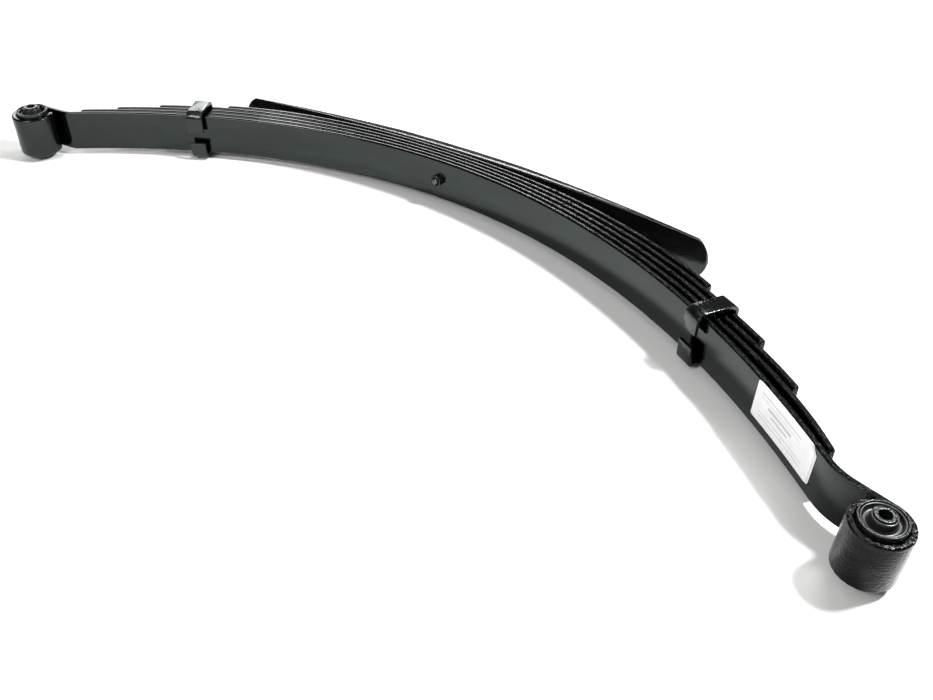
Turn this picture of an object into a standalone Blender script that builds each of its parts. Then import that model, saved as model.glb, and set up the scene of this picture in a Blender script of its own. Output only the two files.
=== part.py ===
"""Leaf spring of a light truck, lying on its side, in metres.

The spring's own axes: the centre bolt's axis crosses the main leaf's concave face at the origin,
+X runs along the leaf there towards the long (rear) half, +Y points to the convex side, where the
other leaves are stacked, and +Z runs across the leaf's width. One parent empty then moves the whole
spring, so that the scene's origin is under the middle of its box.
"""

from math import cos, pi, radians, sin

import bmesh
import bpy
import numpy as np
from mathutils import Euler, Matrix, Vector

GAP = 0.0003  # between pieces that touch

# Leaves
WIDTH = 0.0635
THICKNESS = 0.0082
CURVATURE = 1.1805  # of the main leaf at the bolt, 1/m
CURVATURE_FALL = 0.95  # how fast it fades towards the tips, 1/m^3
STATION_STEP = 0.030
HUMP = 27 / 4  # makes share**2 * (1 - share) reach 1
FAN = 0.0028  # widest extra gap between two leaves, part of the way to the shorter one's tip
REAR_BOW = 0.0038  # how far leaf 2 bows off the main leaf between the rear clip and its tip
REAR_LIFT = {"leaf_2": 0.0009, "leaf_3": 0.0030, "leaf_4": 0.0030, "leaf_5": 0.0018}  # at each rear tip
CORNER = 0.0035  # rounding of a leaf's corners
TIPS = {
    "leaf_2": (0.617, 0.746),
    "leaf_3": (0.562, 0.652),
    "leaf_4": (0.497, 0.574),
    "leaf_5": (0.389, 0.461),
}

# Ends of the main leaf: where the reverse bend starts, its angle and length, and the straight after it
FRONT, REAR = -1, 1
BEND_START = {FRONT: 0.6311, REAR: 0.7539}
BEND_ANGLE = {FRONT: radians(30.8), REAR: radians(28.6)}
BEND_LENGTH = {FRONT: 0.0129, REAR: 0.0381}
STRAIGHT = {FRONT: 0.0413, REAR: 0.0433}
EYE_RADIUS = 0.0240  # of the eye's bore
EYE_WRAP = radians(305)

# Overload leaf
OVERLOAD_TIPS = (0.400, 0.429)
OVERLOAD_CURVATURE = 1 / 2.39
OVERLOAD_TILT = 0.024
OVERLOAD_AT_BOLT = 0.0438  # its concave face, on the bolt's axis
OVERLOAD_THICKNESS = 0.019
OVERLOAD_TIP_THICKNESS = 0.006
OVERLOAD_FULL_LENGTH = 0.110  # stays at full thickness this far from the bolt
OVERLOAD_END_RADIUS = 0.036
OVERLOAD_END_FLAT = 0.15  # share of the round end that is cut straight

# Centre bolt and nut
BOLT_RADIUS = 0.0050
BOLT_HEAD_RADIUS = 0.0085
BOLT_HEAD_HEIGHT = 0.008
BOLT_TIP = 0.0105  # stands this far off the concave face
BOLT_CHAMFER = 0.001
NUT_FLATS = 0.017
NUT_HEIGHT = 0.008

# Rebound clips, wrapped round leaves 1 to 4
CLIP_AT = {FRONT: 0.426, REAR: 0.5045}
CLIP_WIDTH = 0.025
CLIP_THICKNESS = 0.005
CLIP_LOW_ROOM = 0.002
CLIP_HIGH_ROOM = 0.004
CLIP_BACK_ROOM = 0.001
CLIP_LEG_ROOM = 0.006  # in front of the main leaf
CLIP_LEG_END = {FRONT: 0.038, REAR: 0.042}
CLIP_TAB_END = {FRONT: 0.020, REAR: 0.024}
CLIP_TAB_LEAN = 0.001
CLIP_FRONT_LOW_CORNER = 0.003  # inner radii of the strap's four bends
CLIP_FRONT_HIGH_CORNER = 0.0075
CLIP_BACK_LOW_CORNER = 0.0035
CLIP_BACK_HIGH_CORNER = 0.006
RIVET_RADIUS = 0.0047
RIVET_HEAD_RADIUS = 0.008
RIVET_HEAD_HEIGHT = 0.004
RIVET_HEAD_RIM = 0.25  # share of the head's height that is straight

# Bushes, alike in both eyes
OUTER_SLEEVE_WALL = 0.0020
OUTER_SLEEVE_PAST = 0.0053  # past the leaf's edges at each end
INNER_SLEEVE_RADIUS = 0.01025
INNER_SLEEVE_BORE = 0.0063
INNER_SLEEVE_PAST = 0.011
RUBBER_LIP_PAST = 0.0090
RUBBER_LIP_WIDTH = 0.0022
RUBBER_LIP_SLOPE = 0.0018  # how much wider the lip is at its foot
RUBBER_GROOVE_PAST = -0.0010
RUBBER_RIM_PAST = 0.0042
RUBBER_RIM_WIDTH = 0.0012
RUBBER_RIM_SLOPE = 0.0014

# Label on the main leaf's concave face
LABEL_FROM = 0.629
LABEL_TO = 0.741
LABEL_LOW = 0.014
LABEL_HIGH = 0.063
LABEL_THICKNESS = 0.0003
LABEL_CORNER = 0.003
LABEL_CUT = 0.009
BACKING_SHIFT = 0.0025

# Where each half bends, as lengths along the main leaf: halfway to the clip, then halfway to the bend
MID_PIVOT = {side: CLIP_AT[side] / 2 for side in (FRONT, REAR)}
END_PIVOT = {side: (CLIP_AT[side] + BEND_START[side]) / 2 for side in (FRONT, REAR)}
PIVOT_DEPTH = 2.5 * THICKNESS

ROUND_STEPS = 32
HOLE_REACH = 0.1  # a cutter runs this far each way
NAMES = {FRONT: "front", REAR: "rear"}


# ---------------------------------------------------------------- curves


def heading_at(length):
    """Angle between the main leaf's face and the X axis, this far from the bolt."""
    return CURVATURE * length - CURVATURE_FALL * length**3 / 3


def walk(side, lengths, headings):
    """The point reached from the bolt through these lengths, heading down by these angles."""
    steps = np.diff(lengths)
    middles = (headings[1:] + headings[:-1]) / 2
    return side * float(np.cos(middles) @ steps), -float(np.sin(middles) @ steps)


def face_point(side, length):
    """(x, y, heading) on the main leaf's concave face, this far from the bolt on that side."""
    lengths = np.linspace(0, length, 120)
    x, y = walk(side, lengths, heading_at(lengths))
    return x, y, heading_at(length)


def outwards(side, heading):
    """Unit normal of the face, to the convex side."""
    return side * sin(heading), cos(heading)


def offset_point(side, length, offset):
    """The face's point moved by offset to the convex side, as (x, y)."""
    x, y, heading = face_point(side, length)
    nx, ny = outwards(side, heading)
    return x + offset * nx, y + offset * ny


def bend_and_straight(side, turns=4):
    """(x, y, heading) along the reverse bend, then at the end of the straight that leads to the eye."""
    x, y, heading = face_point(side, BEND_START[side])
    points = []
    for _ in range(turns):
        middle = heading - BEND_ANGLE[side] / turns / 2
        x += side * cos(middle) * BEND_LENGTH[side] / turns
        y -= sin(middle) * BEND_LENGTH[side] / turns
        heading -= BEND_ANGLE[side] / turns
        points.append((x, y, heading))
    x += side * cos(heading) * STRAIGHT[side]
    y -= sin(heading) * STRAIGHT[side]
    points.append((x, y, heading))
    return points


def eye_centre(side):
    x, y, heading = bend_and_straight(side)[-1]
    nx, ny = outwards(side, heading)
    return x - EYE_RADIUS * nx, y - EYE_RADIUS * ny


def eye_points(side, turns=22):
    """Points round the eye's bore, from the end of the straight to the rolled tip."""
    cx, cy = eye_centre(side)
    start = bend_and_straight(side)[-1][2]
    points = []
    for turn in range(1, turns + 1):
        nx, ny = outwards(side, start + EYE_WRAP * turn / turns)
        points.append((cx + EYE_RADIUS * nx, cy + EYE_RADIUS * ny))
    return points


def extra_gap(length, tip):
    """How far a leaf ending at tip stands off the one before it: nothing at the bolt and at its own tip."""
    share = min(length / tip, 1)
    return FAN * HUMP * share**2 * (1 - share)


def rear_gap(length, name):
    """What the rear half adds: each tip's own lift, and leaf 2's bow past the clip."""
    tip = TIPS[name][1]
    gap = REAR_LIFT[name] * min(length / tip, 1) ** 3
    if name == "leaf_2" and length > CLIP_AT[REAR]:
        share = min((length - CLIP_AT[REAR]) / (tip - CLIP_AT[REAR]), 1)
        gap += REAR_BOW * HUMP * share**2 * (1 - share)
    return gap


def leaf_offset(side, length, name):
    """Distance from the main leaf's concave face to this leaf's concave face."""
    offset = 0.0
    for other, tips in TIPS.items():
        offset += THICKNESS + GAP + extra_gap(length, tips[side > 0])
        if side == REAR:
            offset += rear_gap(length, other)
        if other == name:
            break
    return offset


def overload_face(x):
    """Y of the overload leaf's concave face."""
    return OVERLOAD_AT_BOLT + OVERLOAD_TILT * x - OVERLOAD_CURVATURE * x**2 / 2


def overload_thickness(x):
    tip = OVERLOAD_TIPS[x > 0]
    share = max(abs(x) - OVERLOAD_FULL_LENGTH, 0) / (tip - OVERLOAD_FULL_LENGTH)
    return OVERLOAD_THICKNESS + (OVERLOAD_TIP_THICKNESS - OVERLOAD_THICKNESS) * share


# ---------------------------------------------------------------- scene and materials


def clear_scene():
    for obj in list(bpy.data.objects):
        bpy.data.objects.remove(obj)


def new_collection(name):
    collection = bpy.data.collections.new(name)
    bpy.context.scene.collection.children.link(collection)
    return collection


def material(name, colour, roughness, metallic=0.0):
    made = bpy.data.materials.new(name)
    made.use_nodes = True
    shader = made.node_tree.nodes["Principled BSDF"]
    shader.inputs["Base Color"].default_value = (*colour, 1)
    shader.inputs["Roughness"].default_value = roughness
    shader.inputs["Metallic"].default_value = metallic
    return made


def origin_of(empty):
    """An empty's place in the spring's axes."""
    if empty == ROOT:
        return Vector()
    return origin_of(empty.parent) + empty.location


def place(name, mesh, parent, look, spot=(Vector(), Euler())):
    """A new object under an empty, at a spot (place, rotation) in the spring's axes."""
    obj = bpy.data.objects.new(name, mesh)
    PARTS.objects.link(obj)
    obj.parent = parent
    obj.location = spot[0] - origin_of(parent)
    obj.rotation_euler = spot[1]
    obj.data.materials.append(look)
    obj.data.shade_smooth()
    obj.data.set_sharp_from_angle(angle=radians(30))
    return obj


def pivot(name, parent, x, y):
    """An empty on a joint's axis, halfway up the leaf's width."""
    empty = bpy.data.objects.new(name, None)
    PARTS.objects.link(empty)
    empty.parent = parent
    empty.location = Vector((x, y, WIDTH / 2)) - origin_of(parent)
    return empty


def across_leaf(side, length):
    """The spot of a piece made along Z that points out of the leaf's convex side, this far from the bolt."""
    x, y, heading = face_point(side, length)
    nx, ny = outwards(side, heading)
    upright = Matrix(((ny, 0, nx), (-nx, 0, ny), (0, -1, 0)))
    return Vector((x, y, WIDTH / 2)), upright.to_euler()


def cutter(name, mesh, spot):
    """A helper that cuts holes and isn't part of the spring."""
    obj = bpy.data.objects.new(name, mesh)
    CUTTERS.objects.link(obj)
    obj.parent = ROOT
    obj.location, obj.rotation_euler = spot
    obj.hide_render = True
    obj.display_type = "WIRE"
    return obj


def cut(obj, tool):
    boolean = obj.modifiers.new("hole for " + tool.name, "BOOLEAN")
    boolean.operation = "DIFFERENCE"
    boolean.object = tool


def thicken(obj, thickness):
    solidify = obj.modifiers.new("thickness", "SOLIDIFY")
    solidify.thickness = thickness
    solidify.offset = -1
    solidify.use_even_offset = True
    return solidify


# ---------------------------------------------------------------- meshes


def ribbon(name, first_edge, second_edge):
    """A strip of faces between two edges, each a list of points."""
    count = len(first_edge)
    bm = bmesh.new()
    bmesh.ops.create_grid(bm, x_segments=count - 1, y_segments=1, size=0.5)
    for vertex in bm.verts:
        station = round((vertex.co.x + 0.5) * (count - 1))
        edge = first_edge if vertex.co.y < 0 else second_edge
        vertex.co = edge[station]
    mesh = bpy.data.meshes.new(name)
    bm.to_mesh(mesh)
    bm.free()
    return mesh


def upright_ribbon(name, stations):
    """A ribbon that stands on edge, from stations (x, y, low z, high z)."""
    low = [(x, y, z) for x, y, z, _ in stations]
    high = [(x, y, z) for x, y, _, z in stations]
    return ribbon(name, low, high)


def outline(name, profile):
    """A profile of (radius, height) at +X, which runs down its outer side, for turned() to turn."""
    bm = bmesh.new()
    ring = [bm.verts.new((radius, 0, height)) for radius, height in profile]
    for start, end in zip(ring, ring[1:] + ring[:1]):
        if start.co.x or end.co.x:
            bm.edges.new((start, end))
    mesh = bpy.data.meshes.new(name)
    bm.to_mesh(mesh)
    bm.free()
    return mesh


def turned(obj, steps=ROUND_STEPS):
    """Turns an object's profile round its own Z axis."""
    screw = obj.modifiers.new("turned", "SCREW")
    screw.steps = steps
    screw.render_steps = steps
    screw.use_merge_vertices = True
    screw.merge_threshold = 0.00001
    return obj


def rod(name, radius, low, high, sides=ROUND_STEPS):
    """A plain cylinder along Z."""
    bm = bmesh.new()
    bmesh.ops.create_cone(
        bm,
        cap_ends=True,
        segments=sides,
        radius1=radius,
        radius2=radius,
        depth=high - low,
        matrix=Matrix.Translation((0, 0, (low + high) / 2)),
    )
    mesh = bpy.data.meshes.new(name)
    bm.to_mesh(mesh)
    bm.free()
    return mesh


# ---------------------------------------------------------------- leaves


def end_steps(corner, turns=3):
    """(distance from the tip, loss of half width) down a rounded corner, tip first."""
    angles = [radians(90) * turn / turns for turn in range(turns + 1)]
    return [(corner * (1 - cos(angle)), corner * (1 - sin(angle))) for angle in angles]


def plain_lengths(front, rear):
    """Signed lengths along a leaf, evenly spaced, from near the front tip to near the rear one."""
    count = round((front + rear) / STATION_STEP)
    return np.linspace(-front, rear, count + 1)


def leaf_lengths(front, rear):
    """(signed length, loss of half width) for every station of a leaf with rounded corners."""
    ends = end_steps(CORNER)
    stations = [(-front + run, loss) for run, loss in ends]
    stations += [(length, 0.0) for length in plain_lengths(front - CORNER, rear - CORNER)[1:-1]]
    stations += [(rear - run, loss) for run, loss in reversed(ends)]
    return stations


def short_leaf(name):
    front, rear = TIPS[name]
    stations = []
    for length, loss in leaf_lengths(front, rear):
        side = REAR if length > 0 else FRONT
        offset = leaf_offset(side, abs(length), name)
        x, y = offset_point(side, abs(length), offset)
        stations.append((x, y, loss, WIDTH - loss))
    return upright_ribbon(name, stations)


def main_leaf():
    points = []
    points += reversed(eye_points(FRONT))
    points += [(x, y) for x, y, _ in reversed(bend_and_straight(FRONT))]
    for length in plain_lengths(BEND_START[FRONT], BEND_START[REAR]):
        side = REAR if length > 0 else FRONT
        points.append(offset_point(side, abs(length), 0))
    points += [(x, y) for x, y, _ in bend_and_straight(REAR)]
    points += eye_points(REAR)
    return upright_ribbon("main_leaf", [(x, y, 0, WIDTH) for x, y in points])


def overload_stations():
    """(x, loss of half width) with round ends."""
    stations = []
    widest = np.arcsin(WIDTH / 2 / OVERLOAD_END_RADIUS)
    ends = []
    for angle in widest * np.linspace(OVERLOAD_END_FLAT, 1, 5):
        run = OVERLOAD_END_RADIUS * (1 - cos(angle))
        ends.append((run, WIDTH / 2 - OVERLOAD_END_RADIUS * sin(angle)))
    front, rear = OVERLOAD_TIPS
    end_run = ends[-1][0]
    stations += [(-front + run, loss) for run, loss in ends]
    stations += [(x, 0.0) for x in plain_lengths(front - end_run, rear - end_run)[1:-1]]
    stations += [(rear - run, loss) for run, loss in reversed(ends)]
    return stations


def overload_leaf(look):
    stations = [(x, overload_face(x), loss, WIDTH - loss) for x, loss in overload_stations()]
    obj = place("overload_leaf", upright_ribbon("overload_leaf", stations), ROOT, look)
    taper = obj.vertex_groups.new(name="taper")
    for vertex in obj.data.vertices:
        x = vertex.co.x
        taper.add([vertex.index], overload_thickness(x) / OVERLOAD_THICKNESS, "REPLACE")
    thicken(obj, OVERLOAD_THICKNESS).vertex_group = "taper"
    return obj


# ---------------------------------------------------------------- clips


def quarter(offset, z, radius, start, steps=4):
    """A quarter turn of points round (offset, z), from an angle given in quarter turns."""
    angles = [pi / 2 * (start + step / steps) for step in range(steps + 1)]
    return [(offset + radius * cos(angle), z + radius * sin(angle)) for angle in angles]


def clip_back(side):
    """How far the clip's inner back face is from the main leaf's concave face."""
    return leaf_offset(side, CLIP_AT[side], "leaf_4") + THICKNESS + CLIP_BACK_ROOM


def clip_outline(side):
    """The strap's inner face as (offset, z), from the tab's end, round the back, to the leg's end."""
    front = -CLIP_LEG_ROOM
    back = clip_back(side)
    low = -CLIP_LOW_ROOM
    high = WIDTH + CLIP_HIGH_ROOM
    tight, wide = CLIP_FRONT_LOW_CORNER, CLIP_FRONT_HIGH_CORNER
    under, over = CLIP_BACK_LOW_CORNER, CLIP_BACK_HIGH_CORNER
    points = [(front - CLIP_TAB_LEAN, CLIP_TAB_END[side])]
    points += quarter(front + tight, low + tight, tight, 2)
    points += quarter(back - under, low + under, under, 3)
    points += quarter(back - over, high - over, over, 0)
    points += quarter(front + wide, high - wide, wide, 1)
    points.append((front, CLIP_LEG_END[side]))
    return points


def clip(side):
    """The strap as a ribbon, which Solidify thickens to its outer side."""
    x, y, heading = face_point(side, CLIP_AT[side])
    nx, ny = outwards(side, heading)
    edges = []
    for across in (CLIP_WIDTH / 2, -CLIP_WIDTH / 2):
        edge = []
        for offset, z in clip_outline(side):
            edge.append((x + offset * nx + across * ny, y + offset * ny - across * nx, z))
        edges.append(edge)
    return ribbon(NAMES[side] + "_clip", *edges)


def rivet_hole(side):
    low = leaf_offset(side, CLIP_AT[side], "leaf_4") - 0.001
    high = clip_back(side) + 2 * CLIP_THICKNESS
    mesh = rod("rivet_hole", RIVET_RADIUS + GAP, low, high, 20)
    return cutter(NAMES[side] + "_rivet_hole", mesh, across_leaf(side, CLIP_AT[side]))


def rivet(side):
    """The outline of a domed rivet through leaf 4 and the clip's back."""
    start = leaf_offset(side, CLIP_AT[side], "leaf_4") + GAP
    seat = clip_back(side) + CLIP_THICKNESS + GAP
    dome = []
    for turn in range(5):
        angle = pi / 2 * turn / 4
        height = RIVET_HEAD_HEIGHT * (RIVET_HEAD_RIM + (1 - RIVET_HEAD_RIM) * cos(angle))
        dome.append((RIVET_HEAD_RADIUS * sin(angle), seat + height))
    shank = [(RIVET_HEAD_RADIUS, seat), (RIVET_RADIUS, seat), (RIVET_RADIUS, start), (0, start)]
    return outline(NAMES[side] + "_clip_rivet", dome + shank)


# ---------------------------------------------------------------- centre bolt and bushes


def centre_bolt():
    seat = OVERLOAD_AT_BOLT + OVERLOAD_THICKNESS + GAP
    top = seat + BOLT_HEAD_HEIGHT
    profile = [
        (0, top),
        (BOLT_HEAD_RADIUS - BOLT_CHAMFER, top),
        (BOLT_HEAD_RADIUS, top - BOLT_CHAMFER),
        (BOLT_HEAD_RADIUS, seat),
        (BOLT_RADIUS, seat),
        (BOLT_RADIUS, -BOLT_TIP + BOLT_CHAMFER),
        (BOLT_RADIUS - BOLT_CHAMFER, -BOLT_TIP),
        (0, -BOLT_TIP),
    ]
    return outline("centre_bolt", profile)


def tube(name, outer, inner, past):
    """The outline of a sleeve that stands out past both edges of the leaf."""
    reach = WIDTH / 2 + past
    return outline(name, [(inner, reach), (outer, reach), (outer, -reach), (inner, -reach)])


def rubber(name):
    """The bonded rubber's outline: a lip round the inner sleeve, a groove and a rim, alike at both ends."""
    outer = EYE_RADIUS - GAP - OUTER_SLEEVE_WALL - GAP
    inner = INNER_SLEEVE_RADIUS + GAP
    face = [
        (inner, RUBBER_LIP_PAST),
        (inner + RUBBER_LIP_WIDTH, RUBBER_LIP_PAST),
        (inner + RUBBER_LIP_WIDTH + RUBBER_LIP_SLOPE, RUBBER_GROOVE_PAST),
        (outer - RUBBER_RIM_WIDTH - RUBBER_RIM_SLOPE, RUBBER_GROOVE_PAST),
        (outer - RUBBER_RIM_WIDTH, RUBBER_RIM_PAST),
        (outer, RUBBER_RIM_PAST),
    ]
    top = [(radius, WIDTH / 2 + past) for radius, past in face]
    bottom = [(radius, -WIDTH / 2 - past) for radius, past in reversed(face)]
    return outline(name, top + bottom)


def add_bush(side, steel, black, parent):
    name = NAMES[side] + "_bush_"
    centre = eye_centre(side)
    axis = pivot(name + "axis", parent, *centre)
    outer = EYE_RADIUS - GAP
    pieces = {
        "outer_sleeve": (tube(name, outer, outer - OUTER_SLEEVE_WALL, OUTER_SLEEVE_PAST), steel),
        "rubber": (rubber(name), black),
        "inner_sleeve": (tube(name, INNER_SLEEVE_RADIUS, INNER_SLEEVE_BORE, INNER_SLEEVE_PAST), steel),
    }
    spot = (Vector((*centre, WIDTH / 2)), Euler())
    for piece, (mesh, look) in pieces.items():
        turned(place(name + piece, mesh, axis, look, spot))


# ---------------------------------------------------------------- label


def label_sheet(name, start, end, offset):
    """A thin sheet bent to the leaf, with rounded corners and the upper rear one cut off."""
    stations = []
    corner = LABEL_CORNER
    for run, loss in end_steps(corner):
        stations.append((start + run, LABEL_LOW + loss, LABEL_HIGH - loss))
    for length in np.linspace(start, end, 6)[1:-1]:
        stations.append((length, LABEL_LOW, LABEL_HIGH))
    stations.append((end - LABEL_CUT, LABEL_LOW, LABEL_HIGH))
    for run, loss in reversed(end_steps(corner)):
        cut_off = LABEL_CUT - run
        stations.append((end - run, LABEL_LOW + loss, LABEL_HIGH - cut_off))
    placed = []
    for length, low, high in stations:
        x, y = offset_point(REAR, length, -offset)
        placed.append((x, y, low, high))
    return upright_ribbon(name, placed)


# ---------------------------------------------------------------- assembly


def spring_shift():
    """Moves the box's centre to X = Y = 0 and its lowest point to Z = 0."""
    outer = EYE_RADIUS + THICKNESS
    front_x, _ = eye_centre(FRONT)
    rear_x, rear_y = eye_centre(REAR)
    top = OVERLOAD_AT_BOLT + OVERLOAD_THICKNESS + GAP + BOLT_HEAD_HEIGHT
    x = (front_x - outer + rear_x + outer) / 2
    y = (rear_y - outer + top) / 2
    return Vector((-x, -y, INNER_SLEEVE_PAST))


def add_leaves(paint, gloss, bolt_hole, rivet_holes):
    leaves = [place("main_leaf", main_leaf(), ROOT, paint)]
    leaves += [place(name, short_leaf(name), ROOT, paint) for name in TIPS]
    for leaf in leaves:
        thicken(leaf, THICKNESS)
        cut(leaf, bolt_hole)
    for tool in rivet_holes:
        cut(leaves[3], tool)
    cut(overload_leaf(gloss), bolt_hole)


def add_clip(side, parent, paint, hole):
    strap = place(NAMES[side] + "_clip", clip(side), parent, paint)
    thicken(strap, CLIP_THICKNESS)
    cut(strap, hole)
    spot = across_leaf(side, CLIP_AT[side])
    turned(place(NAMES[side] + "_clip_rivet", rivet(side), parent, paint, spot), 20)


def add_bolt(thread, dark, hole):
    spot = across_leaf(REAR, 0)
    turned(place("centre_bolt", centre_bolt(), ROOT, thread, spot), 24)
    corner_radius = NUT_FLATS / 2 / cos(pi / 6)
    prism = rod("centre_bolt_nut", corner_radius, -NUT_HEIGHT - GAP, -GAP, sides=6)
    cut(place("centre_bolt_nut", prism, ROOT, dark, spot), hole)


def build():
    paint = material("black_paint", (0.045, 0.05, 0.05), 0.45, 0.3)
    gloss = material("gloss_black_paint", (0.02, 0.02, 0.022), 0.2, 0.3)
    dark = material("black_oxide_steel", (0.03, 0.03, 0.03), 0.4, 0.8)
    thread = material("plated_steel", (0.45, 0.45, 0.42), 0.35, 0.9)
    black_rubber = material("black_rubber", (0.02, 0.02, 0.02), 0.7)
    paper = material("white_label", (0.85, 0.85, 0.83), 0.5)
    silver = material("grey_label_edge", (0.6, 0.62, 0.63), 0.4)

    bolt_mesh = rod("bolt_hole", BOLT_RADIUS + GAP, -HOLE_REACH, HOLE_REACH, 20)
    bolt_hole = cutter("bolt_hole", bolt_mesh, across_leaf(REAR, 0))
    holes = {side: rivet_hole(side) for side in (FRONT, REAR)}

    add_leaves(paint, gloss, bolt_hole, holes.values())
    add_bolt(thread, dark, bolt_hole)
    for side in (FRONT, REAR):
        mid = pivot(NAMES[side] + "_mid_pivot", ROOT, *offset_point(side, MID_PIVOT[side], PIVOT_DEPTH))
        end = pivot(NAMES[side] + "_end_pivot", ROOT, *offset_point(side, END_PIVOT[side], THICKNESS / 2))
        add_clip(side, mid, paint, holes[side])
        add_bush(side, dark, black_rubber, end)
    layer = LABEL_THICKNESS + GAP
    backing = label_sheet("label_backing", LABEL_FROM + BACKING_SHIFT, LABEL_TO + BACKING_SHIFT, layer)
    label = label_sheet("label", LABEL_FROM, LABEL_TO, 2 * layer)
    for name, mesh, look in (("label_backing", backing, silver), ("label", label, paper)):
        thicken(place(name, mesh, end, look), LABEL_THICKNESS)


clear_scene()
PARTS = new_collection("leaf_spring")
CUTTERS = new_collection("cutters")
ROOT = bpy.data.objects.new("spring_frame", None)
PARTS.objects.link(ROOT)
ROOT.location = spring_shift()
build()
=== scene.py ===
"""Looks of the leaf spring: fine leaves, clips, bushes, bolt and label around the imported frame.

Lengths are in metres. The spring's own axes have the centre bolt's axis at X = Y = 0 on the main
leaf's concave face, +Y to the convex side and Z = 0 at the leaves' lower edges. SHIFT moves them to
the frame's axes.
"""

from math import cos, pi, radians, sin, sqrt

import bmesh
import bpy
import numpy as np
from mathutils import Matrix, Vector


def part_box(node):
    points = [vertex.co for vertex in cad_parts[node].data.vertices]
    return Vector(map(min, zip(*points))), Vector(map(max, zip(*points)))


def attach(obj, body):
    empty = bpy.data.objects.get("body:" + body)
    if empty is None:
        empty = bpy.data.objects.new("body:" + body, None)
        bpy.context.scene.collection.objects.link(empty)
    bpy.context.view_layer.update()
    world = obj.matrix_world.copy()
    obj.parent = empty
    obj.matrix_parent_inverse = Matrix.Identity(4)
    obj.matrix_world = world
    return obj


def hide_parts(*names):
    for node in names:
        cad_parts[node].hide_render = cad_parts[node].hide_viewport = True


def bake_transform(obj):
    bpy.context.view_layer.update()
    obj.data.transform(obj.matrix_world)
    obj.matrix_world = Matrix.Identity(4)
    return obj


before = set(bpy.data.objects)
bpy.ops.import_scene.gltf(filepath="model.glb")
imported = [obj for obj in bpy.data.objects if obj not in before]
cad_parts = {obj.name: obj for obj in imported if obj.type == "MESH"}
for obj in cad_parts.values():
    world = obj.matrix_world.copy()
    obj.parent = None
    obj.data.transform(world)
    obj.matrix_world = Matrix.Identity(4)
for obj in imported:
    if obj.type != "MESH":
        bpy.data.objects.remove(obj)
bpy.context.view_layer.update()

# ---------------------------------------------------------------- dimensions

GAP = 0.0003  # between pieces that touch
WIDTH = 0.0635  # of every leaf
THICKNESS = 0.0082  # of the five arched leaves
CURVATURE = 1.1805  # of the main leaf at the bolt, per metre
CURVATURE_FALL = 0.95  # how fast it falls, per metre cubed
HUMP = 27 / 4  # makes share**2 * (1 - share) reach 1
FAN = 0.0028  # the most that two leaves stand apart between the bolt and a tip
REAR_BOW = 0.0038  # leaf 2's extra gap past the rear clip
REAR_LIFT = {"leaf_2": 0.0009, "leaf_3": 0.0030, "leaf_4": 0.0030, "leaf_5": 0.0018}
CORNER = 0.0035  # of a short leaf's tip
# length from the bolt to the front tip and to the rear tip
TIPS = {
    "leaf_2": (0.617, 0.746),
    "leaf_3": (0.562, 0.652),
    "leaf_4": (0.497, 0.574),
    "leaf_5": (0.389, 0.461),
}
FRONT, REAR = -1, 1
NAMES = {FRONT: "front", REAR: "rear"}
# the main leaf's reverse bend and the straight after it, before each eye
BEND_START = {FRONT: 0.6311, REAR: 0.7539}
BEND_ANGLE = {FRONT: radians(30.8), REAR: radians(28.6)}
BEND_LENGTH = {FRONT: 0.0129, REAR: 0.0381}
STRAIGHT = {FRONT: 0.0413, REAR: 0.0433}
EYE_RADIUS = 0.0240  # inside
EYE_WRAP = radians(305)
TRACE_POINTS = 6000  # in the table of each half's curve

OVERLOAD_TIPS = (0.400, 0.429)
OVERLOAD_CURVATURE = 1 / 2.39
OVERLOAD_TILT = 0.024
OVERLOAD_AT_BOLT = 0.0438
OVERLOAD_THICKNESS = 0.019
OVERLOAD_TIP_THICKNESS = 0.006
OVERLOAD_FULL_LENGTH = 0.110  # full thickness this far from the bolt
OVERLOAD_END_RADIUS = 0.036

STEP = 0.006  # between a leaf's cross-sections
EDGE_ROUND = 0.0022  # of a leaf's long corners
# how far a long edge falls away from its highest line, and where that line is, as a share of the thickness
EDGE_CROWN = (0.0004, 0.5)
OVERLOAD_CROWN = (0.0020, 0.12)
TIP_ROUND = 0.0012  # of a tip's rim
TURNS = 5  # points round each of a section's corners
CORNER_STEPS = 7  # sections in a tip's corners
TIP_STEPS = 4  # sections in a tip's rim
END_STEPS = 14  # sections in each of the overload leaf's round ends
END_FIRST = 0.35  # how many of those steps the outermost section stands in from the very end

# the leaves' paint: how near an edge or a tip it turns thick and glossy and is painted darker, as painted
# shade for the dark the edges reflect, and over what length
EDGE_PAINT_AND_SHADE, EDGE_FADE = 0.0004, 0.0025
TIP_PAINT_AND_SHADE, TIP_FADE = 0.005, 0.003
EYE_PAINT_AND_SHADE, EYE_FADE = 0.01, 0.07  # the rear eye's paint starts this far before the rear reverse bend; it is grainy and painted darkest, as painted shade for the shadowed floor it reflects
ROUGH_FROM, ROUGH_FADE = 0.08, 0.4  # edges turn lumpy from here towards the rear, and grainy and painted darker, as painted shade
ROUGH_LEAST = 0.02
LEAF_UV_SHIFT, OVERLOAD_UV_SHIFT = 0.31, 2.7  # keep each leaf's paint different

CLIP_AT = {FRONT: 0.426, REAR: 0.5045}
CLIP_WIDTH = 0.025
CLIP_THICKNESS = 0.005
CLIP_LOW_ROOM = 0.002
CLIP_HIGH_ROOM = 0.004
CLIP_BACK_ROOM = 0.001
CLIP_LEG_ROOM = 0.006
CLIP_LEG_END = {FRONT: 0.038, REAR: 0.042}
CLIP_TAB_END = {FRONT: 0.020, REAR: 0.024}
CLIP_TAB_LEAN = 0.001
CLIP_FRONT_LOW_CORNER = 0.003
CLIP_FRONT_HIGH_CORNER = 0.0075
CLIP_BACK_LOW_CORNER = 0.0035
CLIP_BACK_HIGH_CORNER = 0.006
CLIP_EDGE = 0.0009

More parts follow.
